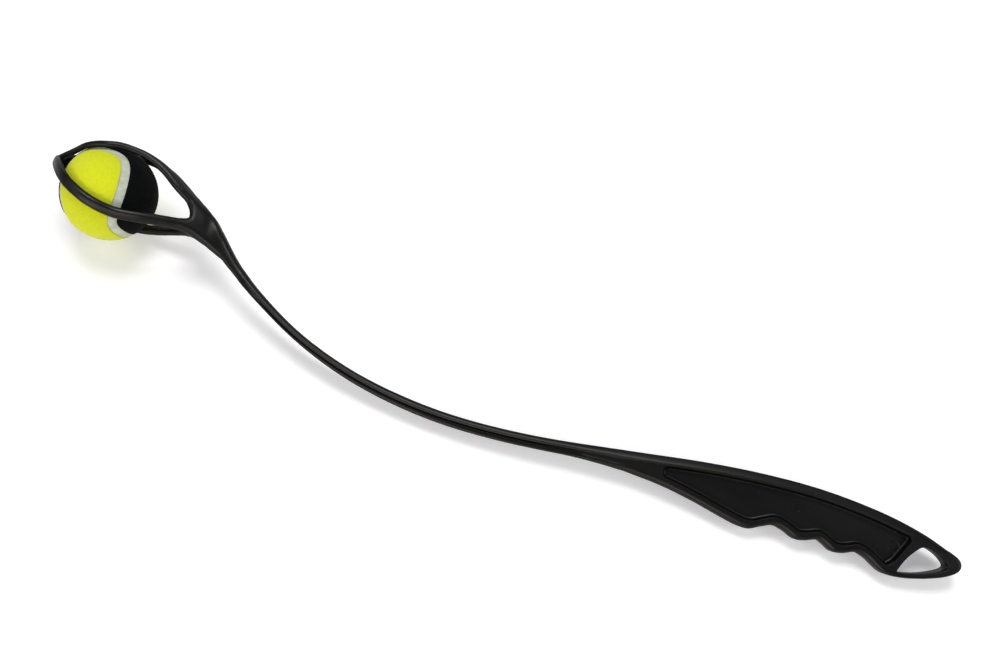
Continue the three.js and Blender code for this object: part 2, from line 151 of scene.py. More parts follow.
# Middle lines of the cage arms on the +z side, from the tip to the throat. First the places along
# the ball: angle round it in the plane, angle above the plane, and distance beyond the arm's seat
# on the ball. Then the places in the throat: x, y and z.
TIP_PLACE = (171.8, 0, 6.8)
BACK_ARM_ROUND = (
    TIP_PLACE, (161.5, 8, 2), (149, 17.5, -0.9), (134, 29, -1), (118, 34.3, -0.7), (104, 35, -0.4),
    (92, 31.4, 0), (80, 26.6, 0.4), (61.6, 19.8, 3.2), (42.9, 14.8, 8.3), (27.1, 10, 15.2),
)
BACK_ARM_ROOT = ((57, 17.2, 5.2), (74, 8.1, 3.2), (92, -4.6, 2.4))
MOUTH_ARM_ROUND = (
    TIP_PLACE, (176.2, 21.9, 1.1), (-170.2, 51.4, 0), (-142.6, 67.3, 0), (-71.7, 69.1, 0),
    (-32.7, 50.9, 0), (-13.6, 33.8, 6.3), (-4.7, 20, 14.4),
)
MOUTH_ARM_ROOT = ((60, -0.4, 10.6), (76, -2.7, 3.9), (92, -8.6, 2.4))

# Widths of the cage arms, at shares of their length from the tip to the throat
BACK_ARM_WIDTHS = (
    (0, 5.4), (0.08, 4.6), (0.2, 4.2), (0.45, 4.8), (0.56, 7), (0.66, 9.4), (0.8, 9.2), (1, 5),
)
MOUTH_ARM_WIDTHS = ((0, 7.4), (0.12, 7.4), (0.25, 6.8), (0.6, 7.2), (0.85, 7.4), (1, 4))

# Thicknesses of the cage arms, as shares of the full arm depth
BACK_ARM_DEPTHS = ((0, 1), (0.1, 0.74), (0.4, 0.8), (0.6, 1), (0.8, 1.1), (0.92, 1.05), (1, 0.9))
MOUTH_ARM_DEPTHS = ((0, 1), (0.75, 1), (0.86, 1.3), (0.93, 1.2), (1, 0.8))

# The throat fills the space between the arms. At each step, the x of its section through the back
# arms and through the mouth arms
THROAT_STEPS = (
    (60.3, 62.2), (62, 64), (64.5, 66.4), (68, 69.5), (72, 73), (77.5, 78), (83.5, 84), (90, 90),
)

# Gussets round the corners of the side windows: x where each leaves the arm, and how far it reaches
# towards the other arm
GUSSETS = ((55.3, 0.2), (57.3, 0.3), (58.8, 0.4))
GUSSET_END = 62.2

# Stretches along x: the shaft and handle, the start of the shaft that the cage's skin takes in, and
# where that skin is smoothed until its arms flow together. Then the x where the skin is cut off
BAR = (110, 620)
STUB = (70, 122)
FLOWING = (50, 107)
CAGE_END = 113

# Turns that lay the ball's seam as the photograph shows it
SEAM_TURNS = ((-3.018, "Z"), (-0.59, "Y"), (-1.554, "X"))

# Lamps: name, the setting with its power, place, where it points, size, share of the power, colour
LAMPS = (
    ("Key lamp", "key", (-0.4, 0.6, 2.1), (-0.1, 0, 0), (1.1, 0.85), 1, (1, 0.985, 0.96)),
    ("Back lamp", "back", (0, 1.6, 1.3), (0, 0, 0), (2.2, 0.8), 1, (1, 1, 1)),
    ("Left lamp", "sides", (-1.5, -0.7, 1.1), (-0.2, 0, 0), (1, 0.6), 1, (1, 1, 1)),
    ("Right lamp", "sides", (1.6, 0, 1.2), (0, 0, 0), (1, 0.6), 2.2, (1, 1, 1)),
    ("Fill lamp", "fill", (-0.3, -1.7, 0.8), (0, 0, 0), (2, 0.6), 1, (1, 0.94, 0.87)),
)
ROOM_COLOUR = (0.84, 0.89, 1, 1)

# Brightness of the floor that the camera sees, its lit part and its even white together
FLOOR_GAIN = 1.155

# The camera in the thrower's own frame: its place, and the directions to its right and upwards
CAMERA_PLACE = (314.891, -51.742, 769.682)
CAMERA_RIGHT = (0.912692, 0.408649, 0)
CAMERA_UP = (-0.406479, 0.907844, 0.102929)


# Sizes and colours that a user would change

class BallSizes(bpy.types.PropertyGroup):
    """Sizes of the tennis ball"""

    radius: FloatProperty(
        name="Radius", description="Radius over the felt", default=0.0325, unit="LENGTH")
    felt: FloatProperty(
        name="Felt thickness", description="Thickness of the felt panels", default=0.0023,
        unit="LENGTH")
    seam_width: FloatProperty(
        name="Seam width", description="Width of the rubber seam between the panels",
        default=0.0054, unit="LENGTH")
    seam_sink: FloatProperty(
        name="Seam depth", description="How far the seam lies below the felt", default=0.0005,
        unit="LENGTH")
    nap: FloatProperty(
        name="Nap", description="Height of the lumps in the felt", default=0.00022, unit="LENGTH")


class CageSizes(bpy.types.PropertyGroup):
    """Sizes of the cage that grips the ball"""

    arm_depth: FloatProperty(
        name="Arm depth", description="Thickness of an arm, outwards from the ball", default=0.005,
        unit="LENGTH")
    arm_bevel: FloatProperty(
        name="Arm bevel", description="Bevel along the edges of an arm", default=0.0014,
        unit="LENGTH")
    clearance: FloatProperty(
        name="Clearance", description="Gap between the ball and an arm", default=0.0008,
        unit="LENGTH")
    grain: FloatProperty(
        name="Skin step", description="Size of the smallest detail of the cage's skin",
        default=0.00044, unit="LENGTH")


class BarSizes(bpy.types.PropertyGroup):
    """Sizes of the shaft and the handle"""

    handle_width: FloatProperty(
        name="Handle width", description="Width of the handle over its rims", default=0.015,
        unit="LENGTH")
    shaft_width: FloatProperty(
        name="Shaft width", description="Width of the shaft over its rims", default=0.012,
        unit="LENGTH")
    web: FloatProperty(
        name="Web thickness", description="Thickness of the web between the recesses",
        default=0.004, unit="LENGTH")
    lip: FloatProperty(
        name="Lip", description="How far the back rim stands proud of the side", default=0.0005,
        unit="LENGTH")
    round_steps: IntProperty(
        name="Round steps", description="Steps round the edge of a rim", default=7, min=2)


class Finishes(bpy.types.PropertyGroup):
    """Colours of the plastic, the felt and the floor"""

    plastic: FloatVectorProperty(
        name="Plastic", description="Colour of the moulded plastic", subtype="COLOR",
        default=(0.0026, 0.0024, 0.0021), min=0, max=1)
    yellow: FloatVectorProperty(
        name="Yellow felt", description="Colour of the bright panel", subtype="COLOR",
        default=(0.65, 0.705, 0.0165), min=0, max=1)
    black: FloatVectorProperty(
        name="Black felt", description="Colour of the dark panel", subtype="COLOR",
        default=(0.0022, 0.0026, 0.0030), min=0, max=1)
    seam: FloatVectorProperty(
        name="Seam", description="Colour of the seam between the panels", subtype="COLOR",
        default=(0.50, 0.54, 0.44), min=0, max=1)
    rubber: FloatVectorProperty(
        name="Rubber", description="Colour of the rubber core", subtype="COLOR",
        default=(0.04, 0.04, 0.038), min=0, max=1)
    floor: FloatVectorProperty(
        name="Floor", description="Colour of the studio floor", subtype="COLOR",
        default=(0.96, 0.956, 0.98), min=0, max=1)


class StudioSettings(bpy.types.PropertyGroup):
    """Camera and light"""

    lens: FloatProperty(
        name="Lens", description="Focal length of the camera", default=41.4, unit="CAMERA")
    key: FloatProperty(
        name="Key lamp", description="Power of the large lamp above the back of the arm",
        default=30, unit="POWER")
    back: FloatProperty(
        name="Back lamp", description="Power of the wide lamp low behind the back of the arm",
        default=4, unit="POWER")
    sides: FloatProperty(
        name="Side lamps", description="Power of the lamps at the two ends", default=4,
        unit="POWER")
    fill: FloatProperty(
        name="Fill lamp", description="Power of the warm lamp at the finger side", default=21,
        unit="POWER")
    sky: FloatProperty(
        name="Room light", description="Strength of the even light of the room", default=0.16)
    white: FloatProperty(
        name="Floor white", description="Share of even white in the floor that the camera sees",
        default=0.3, min=0, max=1)


# Curves

def smooth_line(points, steps=8):
    """Points along a smooth curve that goes through the given points."""
    through = [Vector(p).to_3d() for p in points]
    line = []
    for i in range(len(through) - 1):
        before = through[max(i - 1, 0)]
        start, end = through[i], through[i + 1]
        after = through[min(i + 2, len(through) - 1)]
        line += interpolate_bezier(
            start, start + (end - before) / 6, end - (after - start) / 6, end, steps + 1)[:-1]
    return line + [through[-1]]


def even_line(line, spacing):
    """The same line with its points about so far apart."""
    lengths = [0.0]
    for a, b in zip(line, line[1:]):
        lengths.append(lengths[-1] + (b - a).length)
    count = max(2, round(lengths[-1] / spacing))
    out, i = [], 0
    for k in range(count + 1):
        goal = lengths[-1] * k / count
        while i < len(line) - 2 and lengths[i + 1] < goal:
            i += 1
        span = lengths[i + 1] - lengths[i]
        out.append(line[i].lerp(line[i + 1], (goal - lengths[i]) / span if span else 0))
    return out


def at_x(line, x):
    """The point of a line at a given x, for lines that never turn back along x."""
    for a, b in zip(line, line[1:]):
        if a.x <= x <= b.x:
            return a.lerp(b, (x - a.x) / (b.x - a.x))
    return line[0].copy() if x < line[0].x else line[-1].copy()


def ease(x, start, end):
    """0 before start, 1 after end and a smooth rise between them."""
    share = min(max((x - start) / (end - start), 0), 1)
    return share * share * (3 - 2 * share)


def value_at(table, place):
    """A value read smoothly between the places of a list of (place, value)."""
    for (x0, v0), (x1, v1) in zip(table, table[1:]):
        if place <= x1:
            return v0 + (v1 - v0) * ease(place, x0, x1)
    return table[-1][1]


def shaft_height(x):
    return at_x(HEIGHT_LINE, x).y


def part_of(line, start, end):
    """The stretch of a line from one x to another."""
    inner = [p.copy() for p in line if start < p.x < end]
    return [at_x(line, start), *inner, at_x(line, end)]


def inward_normals(loop):
    """For each point of a loop that runs anticlockwise, the direction into it."""
    out = []
    for i in range(len(loop)):
        along = (loop[(i + 1) % len(loop)] - loop[i - 1]).normalized()
        out.append(Vector((-along.y, along.x, 0)))
    return out


# Mesh work shared by the pieces

def mesh_from(bm, name):
    """Makes the mesh and frees the workpiece."""
    mesh = bpy.data.meshes.new(name)
    bm.to_mesh(mesh)
    bm.free()
    return mesh


def add_object(name, data):
    made = bpy.data.objects.new(name, data)
    bpy.context.scene.collection.objects.link(made)
    return made


def ring_of(bm, places):
    """A closed ring of new vertices and edges."""
    ring = [bm.verts.new(p) for p in places]
    for i, vertex in enumerate(ring):
        bm.edges.new((ring[i - 1], vertex))
    return ring


def ring_edges(bm, ring):
    return [bm.edges.get((ring[i - 1], ring[i])) for i in range(len(ring))]


def step_ring(bm, ring, places):
    """Extrudes a ring and moves each new vertex to its place."""
    made = bmesh.ops.extrude_edge_only(bm, edges=ring_edges(bm, ring))["geom"]
    fresh = {tuple(g.co): g for g in made if isinstance(g, bmesh.types.BMVert)}
    moved = [fresh[tuple(v.co)] for v in ring]
    for vertex, place in zip(moved, places):
        vertex.co = place
    return moved


def rings(bm, list_of_places):
    """A skin through rings of equal count, made by extruding the first one step by step."""
    first = ring = ring_of(bm, list_of_places[0])
    for places in list_of_places[1:]:
        ring = step_ring(bm, ring, places)
    return first, ring


def cap(bm, ring):
    bmesh.ops.contextual_create(bm, geom=ring_edges(bm, ring))


def fill(bm, edges):
    bmesh.ops.triangle_fill(bm, use_beauty=True, edges=edges)


def finish_mesh(bm, name, body, nodes, material, smooth_angle=math.radians(34)):
    """Carries a mesh to where the thrower lies, and makes it a piece that rides on a body."""
    bmesh.ops.recalc_face_normals(bm, faces=bm.faces)
    bmesh.ops.transform(bm, matrix=LYING, verts=bm.verts)
    mesh = mesh_from(bm, name)
    for polygon in mesh.polygons:
        polygon.use_smooth = True
    mesh.set_sharp_from_angle(angle=smooth_angle)
    piece = add_object(name, mesh)
    mesh.materials.append(bpy.data.materials[material])
    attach(piece, body)
    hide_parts(*nodes)
    return piece


def lying_place():
    """The matrix from the thrower's own frame, in millimetres, to where it lies, in metres."""
    record = frame["record"]
    web = next(m for m in record["mounts"] if m["name"] == "grip_web_face")
    side = Vector(web["axis"]).normalized()
    back = -Vector(record["behaviour"]["joints"][0]["axis"]).normalized()
    along = back.cross(side).normalized()
    back = side.cross(along)
    turn = Matrix((along, back, side)).transposed() * MILLIMETRE
    origin = Vector(web["pos_m"]) - turn @ Vector(GRIP_MOUNT)
    return Matrix.Translation(origin) @ turn.to_4x4()


LYING = lying_place()
BACK_LINE = smooth_line(BACK_EDGE)
HEIGHT_LINE = smooth_line(SHAFT_HEIGHTS)
FINGER_LINE = smooth_line(FINGER_EDGE)


# Shaft and handle

def shaft_frame(x):
    """At a place along x: a point on the back edge, and the direction square to the edge there."""
    ahead = (at_x(BACK_LINE, x + 1) - at_x(BACK_LINE, x - 1)).normalized()
    return at_x(BACK_LINE, x), Vector((-ahead.y, ahead.x, 0))


def below_back(x, depth):
    """The point so far below the back edge, measured square to it."""
    edge, up = shaft_frame(x)
    return edge - up * depth


def bar_outline(start, end):
    """Side outline of the shaft and handle between two places along x, anticlockwise."""
    shaft_end = min(end, SHAFT_HEIGHTS[-1][0])
    steps = max(2, round((shaft_end - start) / 2))
    xs = [start + (shaft_end - start) * i / steps for i in range(steps + 1)]
    lower = [below_back(x, shaft_height(x)) for x in xs]
    if end <= shaft_end:
        upper = part_of(BACK_LINE, start, end)
        low = even_line(lower, 1.6)
        high = even_line(upper, 1.6)[::-1]
        cap_right = even_line([low[-1], high[0]], 1)[1:-1]
        cap_left = even_line([high[-1], low[0]], 1)[1:-1]
        return [*low, *cap_right, *high, *cap_left]
    fingers = part_of(FINGER_LINE, lower[-1].x + 2, HANDLE_NOSE[0][0])
    nose = smooth_line(HANDLE_NOSE)
    upper = part_of(BACK_LINE, start, HANDLE_NOSE[-1][0])[::-1]
    around = even_line([*lower, *fingers, *nose[1:-1], *upper], 1.5)
    cap_left = even_line([around[-1], around[0]], 1)[1:-1]
    return [*around, *cap_left]


def side_height(x, sizes):
    """Height of the side face above the middle plane, which rises evenly from shaft to handle."""
    rise_start, rise_length, shaft_lip = 100, 400, 0.4
    low = sizes.shaft_width / 2 / MILLIMETRE - shaft_lip
    high = (sizes.handle_width / 2 - sizes.lip) / MILLIMETRE
    return low + (high - low) * (x - rise_start) / rise_length


def channel_loop():
    """Outline of the channel along the side of the shaft, anticlockwise."""
    back_strip, finger_strip = 0.12, 0.35
    narrow, spread = 0.95, 3.4
    tops, floors = [], []
    for place in even_line([Vector((x, 0, 0)) for x in CHANNEL], 2):
        x = place.x
        top = value_at(BACK_RIM, x) + RIM_SLOPE + back_strip
        room = shaft_height(x) - top - value_at(FINGER_RIM, x) - finger_strip
        wide = min(narrow + spread * ease(x, 320, CHANNEL[1]), room)
        tops.append(below_back(x, top))
        floors.append(below_back(x, top + wide))
    end = even_line([floors[-1], tops[-1]], 1)[1:-1]
    return [*floors, *end, *tops[::-1]]


def channel_depth(x):
    """Depth of the channel, which runs out at both its ends."""
    full, least = 1.1, 0.02
    return full * ease(x, 117, 142) * (1 - ease(x, 325, 402)) + least


def recess_loop():
    """Outline of the recess in the side of the grip, anticlockwise, with rounded ends."""
    strip, roof_stop, floor_stop = 0.2, 583.4, 576.4
    roof = []
    for p in part_of(BACK_LINE, *RECESS_ROOF):
        roof.append(below_back(p.x, value_at(BACK_RIM, p.x) + RIM_SLOPE + strip))
    floor = [p + Vector((0, RECESS_RIM, 0)) for p in part_of(FINGER_LINE, *RECESS_FLOOR)]
    middle = (roof[0] + floor[0]) / 2
    half = (roof[0] - floor[0]).length / 2
    nose = []
    for i in range(1, 12):
        turn = math.radians(90 + 15 * i)
        nose.append(middle + Vector((math.cos(turn), math.sin(turn), 0)) * half)
    foot, bend, head = [Vector(corner).to_3d() for corner in RECESS_END]
    roof = [p for p in roof if p.x < roof_stop]
    floor = [p for p in floor if p.x < floor_stop]
    corner_low = interpolate_bezier(
        floor[-1], floor[-1].lerp(foot, 0.7), foot.lerp(floor[-1], 0.1), foot.lerp(bend, 0.12), 6)
    corner_high = interpolate_bezier(
        bend.lerp(foot, 0.02), bend.lerp(head, 0.6), roof[-1].lerp(head, 0.9), roof[-1], 6)
    loop = [*floor[:-1], *corner_low, *corner_high, *roof[:-1][::-1], *nose]
    return even_line([*loop, loop[0]], 1.5)[:-1]


def hang_hole_loop():
    """Outline of the hanging hole, anticlockwise: bowed sides, and corners eased until round."""
    loop, turns, steps = [], [], 36
    for i, corner in enumerate(HANG_HOLE):
        following = (i + 1) % 3
        start, end = Vector(corner).to_3d(), Vector(HANG_HOLE[following]).to_3d()
        outward = (end - start).normalized().cross(Vector((0, 0, 1)))
        for k in range(steps):
            share = k / steps
            bow = outward * HANG_HOLE_BOWS[i] * 4 * share * (1 - share)
            loop.append(start.lerp(end, share) + bow)
            turns.append(HANG_HOLE_EASING[i if share < 0.5 else following])
    for turn in range(max(turns)):
        eased = [(loop[i - 1] + loop[(i + 1) % len(loop)] + 2 * p) / 4 for i, p in enumerate(loop)]
        loop = [e if turn < turns[i] else p for i, (p, e) in enumerate(zip(loop, eased))]
    return even_line([*loop, loop[0]], 0.9)[:-1]


def mark_loop(mark):
    """Outline of a round moulding mark, anticlockwise."""
    x, y, radius = mark[:3]
    turns = [2 * math.pi * i / 32 for i in range(32)]
    return [Vector((x + radius * math.cos(t), y + radius * math.sin(t), 0)) for t in turns]


def sunk_loop(bm, loop, height, steps):
    """A wall that goes down from a flat face: each step is (distance inwards, depth). A narrow flat
    strip at its top keeps the shading of the face even."""
    strip = 0.05
    normals = inward_normals(loop)
    outer = ring = ring_of(bm, [p + Vector((0, 0, height(p))) for p in loop])
    for inwards, depth in ((0, 0), *steps):
        places = []
        for p, n in zip(loop, normals):
            sink = depth(p) if callable(depth) else depth
            places.append(p + n * (inwards + strip) + Vector((0, 0, height(p) - sink)))
        ring = step_ring(bm, ring, places)
    return outer, ring


def rim_profile(p, n, sizes):
    """The rim at a point of the outline, as distances inwards and heights: up from the middle
    plane, round to the top of the rim, and down its inner slope to the side face."""
    side = side_height(p.x, sizes)
    if n.y < -0.2 * abs(n.x) and p.x < BACK_RIM_END:
        rim = value_at(BACK_RIM, p.x)
        drop = min(rim * 0.95, DEEPEST_RIM)
        lip = sizes.lip / MILLIMETRE * (1 - ease(p.x, *LIP_SINKS)) * ease(p.x, *LIP_RISES)
        power = 1.2 + 0.5 * ease(p.x, *RIM_SQUARES)
        slope = NARROW_SLOPE + (RIM_SLOPE - NARROW_SLOPE) * (1 - ease(p.x, *SLOPE_NARROWS))
    else:
        rim = value_at(FINGER_RIM, p.x)
        drop = min(rim * 0.8, DEEPEST_RIM)
        lip, power, slope = 0, 1, NARROW_SLOPE
    profile = [(0, 0)]
    for k in range(sizes.round_steps + 1):
        turn = math.pi / 2 * k / sizes.round_steps
        inwards = rim * (1 - max(math.cos(turn), 0) ** power)
        profile.append((inwards, side + lip - drop * (1 - math.sin(turn) ** power)))
    for inwards, share in SLOPE_PROFILE:
        profile.append((rim + inwards * slope, side + lip * share))
    return profile


def rounded_bar(bm, outline, sizes):
    """The upper half of a bar: its wall and rounded rims, open at the middle plane and at the side
    face. It returns the ring round the side face."""
    columns = []
    for p, n in zip(outline, inward_normals(outline)):
        profile = rim_profile(p, n, sizes)
        columns.append([p + n * inwards + Vector((0, 0, height)) for inwards, height in profile])
    return rings(bm, list(zip(*columns)))[1]


def close_half(bm):
    """Mirrors the half over the middle plane and welds the two."""
    geometry = [*bm.verts, *bm.edges, *bm.faces]
    bmesh.ops.mirror(bm, geom=geometry, matrix=Matrix.Identity(4), merge_dist=0.001, axis="Z")
    bmesh.ops.remove_doubles(bm, verts=bm.verts, dist=0.0005)


def stub_mesh(bm, start, end, sizes):
    """A short plain stretch of the shaft with both its ends closed."""
    half = bmesh.new()
    last = rounded_bar(half, bar_outline(start, end), sizes)
    fill(half, ring_edges(half, last))
    close_half(half)
    add_shell(bm, half)


# Cage

def round_ball(place, seat):
    """The place at these angles round the ball, so far beyond an arm's seat."""
    around, above, beyond = place
    turn, rise = math.radians(around), math.radians(above)
    flat = math.cos(rise)
    direction = Vector((flat * math.cos(turn), flat * math.sin(turn), math.sin(rise)))
    return direction * (seat + beyond)


def arm_section(across, deep, bevel):
    """Section of an arm: a rectangle with bevelled corners and slightly crowned faces."""
    crown = 0.12
    quarter = [
        (across + crown, 0), (across, deep - bevel), (across - bevel, deep), (0, deep + crown)]
    right = [*quarter, *[(-s, d) for s, d in quarter[-2::-1]]]
    return [*right, *[(-s, -d) for s, d in right[1:-1]]]


def arm_frames(line, count):
    """Evenly spaced frames of an arm: place, side and outward direction. Outwards is away from the
    ball at first, and away from the shaft's axis towards the throat."""
    points = even_line(line, sum((b - a).length for a, b in zip(line, line[1:])) / count)
    axis_y, changeover = 7, (5, 40)
    frames = []
    for i, here in enumerate(points):
        along = (points[min(i + 1, len(points) - 1)] - points[max(i - 1, 0)]).normalized()
        from_ball = here.normalized()
        from_axis = Vector((0, here.y - axis_y, here.z)).normalized()
        outward = from_ball.lerp(from_axis, ease(here.x, *changeover))
        side = outward.cross(along).normalized()
        frames.append((here, side, along.cross(side).normalized()))
    return frames


def arm_rings(line, widths, depths, sizes):
    """The sections of one arm along its middle line."""
    frames = arm_frames(line, 60)
    sections = []
    for i, (here, side, out) in enumerate(frames):
        share = i / (len(frames) - 1)
        across = value_at(widths, share) / 2
        thickness = value_at(depths, share)
        deep = sizes.arm_depth / 2 / MILLIMETRE * thickness
        bevel = sizes.arm_bevel / MILLIMETRE * thickness
        sections.append([here + side * s + out * d for s, d in arm_section(across, deep, bevel)])
    return sections


def section_at(sections, x):
    """The section of an arm where its middle crosses a given x on its way to the shaft."""
    middles = [sum(ring, Vector()) / len(ring) for ring in sections]
    for i in range(len(sections) - 1, 0, -1):
        if middles[i - 1].x <= x <= middles[i].x:
            share = (x - middles[i - 1].x) / (middles[i].x - middles[i - 1].x)
            return [a.lerp(b, share) for a, b in zip(sections[i - 1], sections[i])]
    return sections[-1]


def mirrored(points):
    return [Vector((p.x, p.y, -p.z)) for p in points]


def add_shell(bm, other):
    """Adds the closed shell of another mesh, with its faces turned outwards."""
    bmesh.ops.recalc_face_normals(other, faces=other.faces)
    spare = mesh_from(other, "shell")
    bm.from_mesh(spare)
    bpy.data.meshes.remove(spare)


def arm_mesh(bm, sections):
    """One arm, as a closed bar along its middle line."""
    shell = bmesh.new()
    first, last = rings(shell, sections)
    cap(shell, first)
    cap(shell, last)
    add_shell(bm, shell)


def hull_mesh(bm, points):
    """The tight skin over some points."""
    shell = bmesh.new()
    made = bmesh.ops.convex_hull(shell, input=[shell.verts.new(p) for p in points])
    inside = {g for key in ("geom_interior", "geom_unused") for g in made[key]}
    bmesh.ops.delete(
        shell, geom=[g for g in inside if isinstance(g, bmesh.types.BMVert)], context="VERTS")
    add_shell(bm, shell)


def throat_mesh(bm, back, mouth):
    """The saddle that gathers the four arms into the shaft, and gussets in the window corners."""
    slices = []
    for place in smooth_line([(*step, 0) for step in THROAT_STEPS], 3):
        upper = [*section_at(back, place.x), *section_at(mouth, place.y)]
        slices.append([*upper, *mirrored(upper)])
    for before, after in zip(slices, slices[1:]):
        hull_mesh(bm, [*before, *after])
    for start, reach in GUSSETS:
        for near, far in ((back, mouth), (mouth, back)):
            first, second, goal = (section_at(near, x) for x in (start, start + 2, GUSSET_END))
            beyond = section_at(far, GUSSET_END)
            aim = sum(beyond, Vector()) / len(goal) - sum(goal, Vector()) / len(goal)
            shell = [*first, *second, *goal, *[p + aim * reach for p in goal]]
            hull_mesh(bm, shell)
            hull_mesh(bm, mirrored(shell))


def moulded_skin(shells, grain, name):
    """One even skin over closed shells that overlap each other."""
    mesh = mesh_from(shells, name)
    rough = add_object(name, mesh)
    remesh = rough.modifiers.new("Skin", "REMESH")
    remesh.mode = "VOXEL"
    remesh.voxel_size = grain
    depsgraph = bpy.context.evaluated_depsgraph_get()
    skin = bmesh.new()
    skin.from_object(rough, depsgraph)
    bpy.data.objects.remove(rough)
    bpy.data.meshes.remove(mesh)
    return skin


def smooth(bm, verts, passes):
    for turn in range(passes):
        bmesh.ops.smooth_vert(
            bm, verts=verts, factor=0.5, use_axis_x=True, use_axis_y=True, use_axis_z=True)


# Ball

def seam_direction(turn):
    """The wavy line round a tennis ball, as a unit vector from its centre."""
    swing, pinch = 0.226, 0.145
    wide = 1 - swing
    direction = Vector((
        wide * math.cos(turn) + swing * math.cos(3 * turn),
        wide * math.sin(turn) - swing * math.sin(3 * turn),
        2 * math.sqrt(wide * swing) * math.sin(2 * turn) + pinch * math.sin(6 * turn),
    )).normalized()
    first, second, third = [Matrix.Rotation(angle, 3, axis) for angle, axis in SEAM_TURNS]
    return (first @ second @ third) @ direction


def seam_samples(count):
    """Places along the seam with the direction across it."""
    samples = []
    for i in range(count):
        turn = 2 * math.pi * i / count
        out = seam_direction(turn)
        along = (seam_direction(turn + 0.005) - seam_direction(turn - 0.005)).normalized()
        samples.append((out, out.cross(along).normalized()))
    return samples


def felt_panel(side, sizes):
    """One felt panel: the part of the ball on one side of the seam, with lumps and a soft edge."""
    radius = sizes.radius / MILLIMETRE
    half = sizes.seam_width / 2 / MILLIMETRE
    samples = seam_samples(900)
    tree = kdtree.KDTree(len(samples))
    for i, sample in enumerate(samples):
        tree.insert(sample[0], i)
    tree.balance()
    bm = bmesh.new()
    bmesh.ops.create_icosphere(bm, subdivisions=7, radius=1)
    edge = 0.32
    sink, soft_width, soft_drop = 0.1, 1.3, 0.75
    outside = []
    for vertex in bm.verts:
        direction = vertex.co.normalized()
        index, gap = tree.find(direction)[1:]
        across = samples[index][1]
        lean = direction.dot(across) * side
        distance = math.copysign(2 * math.asin(min(gap / 2, 1)), lean) * radius - half
        distance -= 0.22 * noise.noise(direction * 30) + 0.1 * noise.noise(direction * 75)
        if distance < -edge / 2:
            outside.append(vertex)
            continue
        if distance < edge / 2:
            direction = (direction + across * side * (-distance / radius)).normalized()
            distance = 0
        lump = noise.noise(direction * 26) + 0.7 * noise.noise(direction * 55)
        tuft = noise.noise(direction * 120)
        lift = sizes.nap / MILLIMETRE * (0.55 * lump + 0.45 * tuft - 0.5)
        soft = max(0, 1 - distance / soft_width)
        vertex.co = direction * (radius - sink + lift - soft_drop * soft * soft)
    bmesh.ops.delete(bm, geom=outside, context="VERTS")
    loose = [f for f in bm.faces if all(e.is_boundary for e in f.edges)]
    bmesh.ops.delete(bm, geom=loose, context="FACES")
    return bm


def seam_band(sizes):
    """The rubber seam: a shallow rounded band that runs once round the ball and meets itself."""
    radius = sizes.radius / MILLIMETRE
    under_felt, crown = 0.25, 0.25
    half = sizes.seam_width / 2 / MILLIMETRE + under_felt
    sink = sizes.seam_sink / MILLIMETRE
    places = []
    for out, across in seam_samples(560):
        ring = []
        for k in range(-5, 6):
            reach = half * k / 5
            direction = (out + across * math.tan(reach / radius)).normalized()
            lump = 0.1 * noise.noise(direction * 90) + 0.06 * noise.noise(direction * 190)
            ring.append(direction * (radius - sink - crown * (k / 5) ** 2 + lump))
        for k in (1, 0.5, 0, -0.5, -1):
            direction = (out + across * math.tan(half * k / radius)).normalized()
            ring.append(direction * (radius - sizes.felt / MILLIMETRE))
        places.append(ring)
    bm = bmesh.new()
    first, last = rings(bm, places)
    bmesh.ops.bridge_loops(bm, edges=[*ring_edges(bm, last), *ring_edges(bm, first)])
    return bm


# Materials

def feed(node, values):
    """Gives inputs of a node their values: plain ones, or outputs of other nodes."""
    for label, value in values.items():
        socket = node.inputs[label]
        if isinstance(value, bpy.types.NodeSocket):
            socket.id_data.links.new(value, socket)
        else:
            socket.default_value = value
    return node


def math_node(nodes, operation, *values):
    node = nodes.new("ShaderNodeMath")
    node.operation = operation
    return feed(node, dict(enumerate(values))).outputs[0]


def noise_node(nodes, vector, scale, detail, roughness=0.55):
    values = {"Vector": vector, "Scale": scale, "Detail": detail, "Roughness": roughness}
    return feed(nodes.new("ShaderNodeTexNoise"), values).outputs["Fac"]


def ranged(nodes, value, low, high, to_low=0, to_high=1):
    """A value carried over from one range to another."""
    values = {
        "Value": value, "From Min": low, "From Max": high, "To Min": to_low, "To Max": to_high}
    return feed(nodes.new("ShaderNodeMapRange"), values).outputs["Result"]


def toned(nodes, value, low, high, colour, dark, light):
    """The colour at its dark share where the value is low, and its light share where it is high."""
    mix = nodes.new("ShaderNodeMix")
    mix.data_type = "RGBA"
    tones = [(*[min(c * share, 1) for c in colour], 1) for share in (dark, light)]
    factor = ranged(nodes, value, low, high)
    return feed(mix, {"Factor": factor, "A": tones[0], "B": tones[1]}).outputs["Result"]


def bumped(nodes, height, distance, strength):
    """The normal of a surface with small bumps."""
    values = {"Height": height, "Distance": distance, "Strength": strength}
    return feed(nodes.new("ShaderNodeBump"), values).outputs["Normal"]


def new_group(name, scales, outputs):
    """An empty shader node group that takes a vector and scales, and gives numbers."""
    group = bpy.data.node_groups.new(name, "ShaderNodeTree")
    group.interface.new_socket(name="Vector", in_out="INPUT", socket_type="NodeSocketVector")
    for label, scale in scales.items():
        socket = group.interface.new_socket(
            name=label, in_out="INPUT", socket_type="NodeSocketFloat")
        socket.default_value = scale
    for label in outputs:
        group.interface.new_socket(name=label, in_out="OUTPUT", socket_type="NodeSocketFloat")
    nodes = group.nodes
    return nodes, nodes.new("NodeGroupInput").outputs, nodes.new("NodeGroupOutput")


